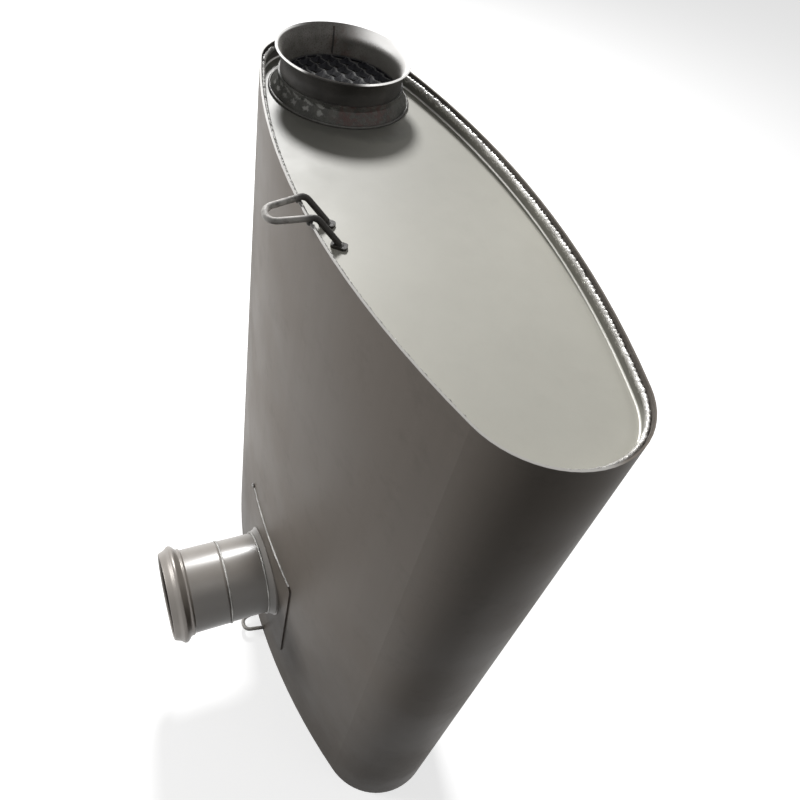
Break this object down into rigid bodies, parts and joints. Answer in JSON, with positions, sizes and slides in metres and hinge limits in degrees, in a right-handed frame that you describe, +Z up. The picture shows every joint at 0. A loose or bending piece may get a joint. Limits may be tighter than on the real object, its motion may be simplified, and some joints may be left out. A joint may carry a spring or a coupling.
{
  "type": "muffler",
  "caption": "Oval welded exhaust muffler with a side inlet pipe, a screened outlet neck on its top end and wire hanging hooks.",
  "frame": {"origin": "centre of the part's footprint on the plane of the shell's lower rim", "axes": "+X along the oval's long axis away from the outlet, +Y away from the inlet pipe, +Z up the shell towards the outlet neck"},
  "size_m": [0.6198, 0.364, 0.808],
  "materials": {
    "shell_steel": "satin aluminised sheet, lightly stained",
    "end_steel": "satin aluminised sheet",
    "weld_metal": "rough weld bead",
    "dark_steel": "dark scaled sheet",
    "screen_steel": "dark expanded mesh",
    "inner_steel": "plain aluminised sheet",
    "pipe_steel": "satin aluminised tube",
    "hook_steel": "bent round wire"
  },
  "bodies": {
    "root": {"shell": "shell_steel", "top_end_plate": "end_steel", "bottom_end_plate": "end_steel", "top_end_weld": "weld_metal", "bottom_end_weld": "weld_metal", "outlet_neck": "dark_steel", "outlet_collar": "dark_steel", "outlet_collar_weld": "weld_metal", "outlet_screen": "screen_steel", "outlet_tube": "inner_steel", "inlet_pipe": "pipe_steel", "inlet_seam_weld": "weld_metal", "inlet_stub": "pipe_steel", "inlet_saddle": "shell_steel", "inlet_foot_ring": "pipe_steel", "inlet_foot_weld": "weld_metal", "inlet_tube": "inner_steel", "inlet_tube_cap": "inner_steel", "lower_baffle": "inner_steel", "upper_baffle": "inner_steel", "transfer_tube_left": "inner_steel", "transfer_tube_right": "inner_steel", "top_hook": "hook_steel", "bottom_hook": "hook_steel"}
  },
  "joints": []
}
